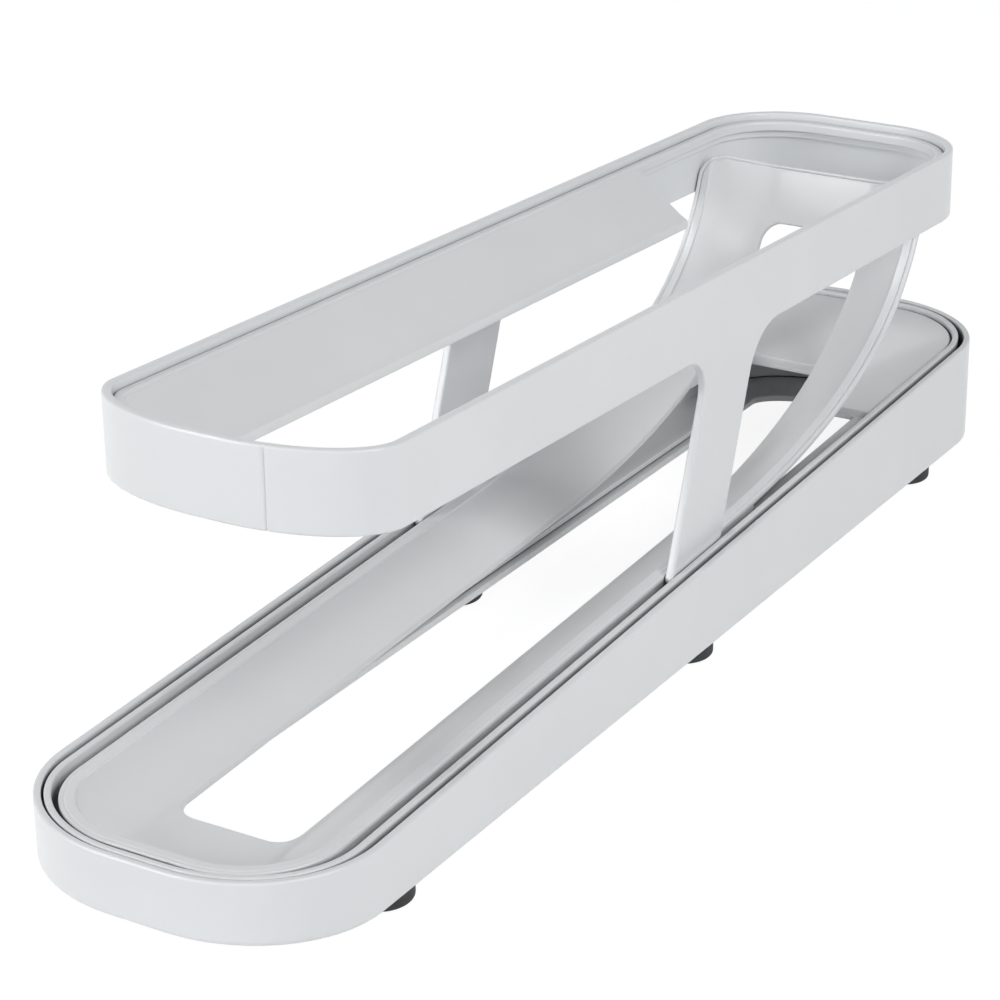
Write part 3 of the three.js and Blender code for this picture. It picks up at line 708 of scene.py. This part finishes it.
bead_path, bead_inward = both_sides(*plan_half(
    band_half, band_front, band_rear, band_front_corner, band_rear_corner))
bead_top = band_line(bead_path[:, 1]) - upper_rim_drop
bead_bottom, bead_inner = bead_top - bead_height, upper_inset + upper_rim_width
bead_section = rounded(stacked(
    (upper_inset, bead_bottom), (bead_inner, bead_bottom), (bead_inner, bead_top),
    (upper_inset, bead_top)), [0.3, 0.4, 0.7, 0.5])


def in_band(plan, depth):
    """Plan points (x, y) at a depth below the upper rim's line."""
    height = band_line(plan[..., 1]) - upper_rim_drop - depth
    return np.concatenate([plan, height[..., None]], -1)


upper_path, upper_inward = both_sides(*plan_half(
    band_half, band_front, upper_track_rear, band_front_corner, None, side_steps=30), open_rear=True)
upper_slot_path, _ = both_sides(*plan_half(
    upper_slot_half, upper_slot_front, upper_track_rear, slot_corner, None, side_steps=30), open_rear=True)
ledges = slotted_tub(
    upper_path, upper_inward, upper_slot_path, in_band, inset=upper_inset + sheet_tuck,
    straight_from=-120.0, half=upper_track_half - sheet_tuck, sheet=upper_sheet, edge_radius=sheet_edge,
    slot_radius=upper_slot_edge, line_depths=upper_rim_line, step=0.0,
    rim_width=upper_rim_width - sheet_tuck, rim_fall=upper_rim_fall, depth=upper_depth,
    slot_half=upper_slot_half)

upper_track = moulded("upper_track_tray", [
    (carried(bead_path, bead_inward, bead_section), True), (ledges, False)])
upper_track.data.materials.append(satin_plastic("upper_track_satin_white", track_white, 0.34))
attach(upper_track, "root")
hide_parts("upper_track")

# Table, light and camera.
# A pale seamless table top that stays nearly white to the camera and keeps a soft shadow. Large
# soft lamps stand low at the front left and higher at the right, and a smaller one at the upper
# left puts a highlight on the rims. The room is brightest at the horizon.
table_mesh = bpy.data.meshes.new("table_top")
table_half, table_height = 5.0, -0.0002
table_corners = [(x * table_half, y * table_half, table_height)
                 for x, y in ((-1, -1), (1, -1), (1, 1), (-1, 1))]
table_mesh.from_pydata(table_corners, [], [(0, 1, 2, 3)])
table = bpy.data.objects.new("table_top", table_mesh)
bpy.context.scene.collection.objects.link(table)


def seen_directly(nodes, links):
    """1 for a ray from the camera, a reflection or something clear, and 0 for one that carries light."""
    path = nodes.new("ShaderNodeLightPath")
    shiny = nodes.new("ShaderNodeMath")
    shiny.operation = "MAXIMUM"
    links.new(path.outputs["Is Glossy Ray"], shiny.inputs[0])
    links.new(path.outputs["Is Transmission Ray"], shiny.inputs[1])
    seen = nodes.new("ShaderNodeMath")
    seen.operation = "MAXIMUM"
    links.new(path.outputs["Is Camera Ray"], seen.inputs[0])
    links.new(shiny.outputs[0], seen.inputs[1])
    return seen.outputs[0]


paper = bpy.data.materials.new("pale_table")
paper.use_nodes = True
nodes, links = paper.node_tree.nodes, paper.node_tree.links
bounce, shadow = nodes["Principled BSDF"], nodes.new("ShaderNodeBsdfDiffuse")
bounce.inputs["Base Color"].default_value = (0.8, 0.8, 0.8, 1)
bounce.inputs["Roughness"].default_value = 0.9
bounce.inputs["Specular IOR Level"].default_value = 0.1
shadow.inputs["Color"].default_value = (0.3, 0.3, 0.3, 1)
lift = nodes.new("ShaderNodeEmission")
lift.inputs["Strength"].default_value = 0.88
both = nodes.new("ShaderNodeAddShader")
pick = nodes.new("ShaderNodeMixShader")
links.new(shadow.outputs[0], both.inputs[0])
links.new(lift.outputs[0], both.inputs[1])
links.new(seen_directly(nodes, links), pick.inputs["Fac"])
links.new(bounce.outputs[0], pick.inputs[1])
links.new(both.outputs[0], pick.inputs[2])
links.new(pick.outputs[0], nodes["Material Output"].inputs["Surface"])
table.data.materials.append(paper)

world = bpy.data.worlds.new("even_room")
bpy.context.scene.world = world
world.use_nodes = True
nodes, links = world.node_tree.nodes, world.node_tree.links
room, white = nodes["Background"], nodes.new("ShaderNodeBackground")
room.inputs["Color"].default_value = (0.93, 0.96, 1.0, 1)
white.inputs["Color"].default_value = (1, 1, 1, 1)
white.inputs["Strength"].default_value = 1.0
pick = nodes.new("ShaderNodeMixShader")
links.new(seen_directly(nodes, links), pick.inputs["Fac"])
links.new(room.outputs[0], pick.inputs[1])
links.new(white.outputs[0], pick.inputs[2])
links.new(pick.outputs[0], nodes["World Output"].inputs["Surface"])
height = nodes.new("ShaderNodeSeparateXYZ")
links.new(nodes.new("ShaderNodeTexCoord").outputs["Generated"], height.inputs[0])
fade = nodes.new("ShaderNodeMapRange")
fade.inputs["From Min"].default_value, fade.inputs["From Max"].default_value = 0.0, 0.8
fade.inputs["To Min"].default_value, fade.inputs["To Max"].default_value = 0.46, 0.10
links.new(height.outputs["Z"], fade.inputs["Value"])
links.new(fade.outputs[0], room.inputs["Strength"])


def soft_lamp(name, place, size, power, target=(0.0, 0.0, 0.05)):
    """A square area lamp that faces the target: its -Z axis is turned onto the line from place to target."""
    lamp = bpy.data.lights.new(name, "AREA")
    lamp.shape, lamp.size, lamp.energy = "SQUARE", size, power
    holder = bpy.data.objects.new(name, lamp)
    holder.location = place
    holder.rotation_euler = (Vector(target) - Vector(place)).to_track_quat("-Z", "Y").to_euler()
    bpy.context.scene.collection.objects.link(holder)


soft_lamp("front_left_lamp", (-0.8, -1.25, 0.42), 0.7, 8.5)
soft_lamp("right_lamp", (1.35, -0.5, 0.95), 0.9, 13.8)
soft_lamp("upper_left_lamp", (-0.58, -0.47, 0.99), 0.3, 2.2)

# The photograph's camera: azimuth 31.55 and elevation 23.01 degrees, rolled by -0.78 degrees.
azimuth, elevation, roll = np.radians([31.55, 23.01, -0.78])
camera_place = (0.3612, -0.6208, 0.3401)
sensor_width, image_width, focal_pixels = 36.0, 1000.0, 3014.96

level = np.cos(elevation)
back = np.array([np.sin(azimuth) * level, -np.cos(azimuth) * level, np.sin(elevation)])
right = np.array([np.cos(azimuth), np.sin(azimuth), 0.0])
up = np.cross(back, right)
rolled_right = np.cos(roll) * right + np.sin(roll) * up
rolled_up = np.cos(roll) * up - np.sin(roll) * right
turn = np.eye(4)
turn[:3] = np.stack([rolled_right, rolled_up, back, camera_place], 1)
camera = bpy.data.objects.new("photo_camera", bpy.data.cameras.new("photo_camera"))
camera.data.sensor_width = sensor_width
camera.data.lens = focal_pixels * sensor_width / image_width
camera.data.clip_start = 0.01
camera.data.clip_end = 50.0
camera.matrix_world = Matrix(turn.tolist())
bpy.context.scene.collection.objects.link(camera)
bpy.context.scene.camera = camera
bpy.context.scene.view_settings.view_transform = "Standard"
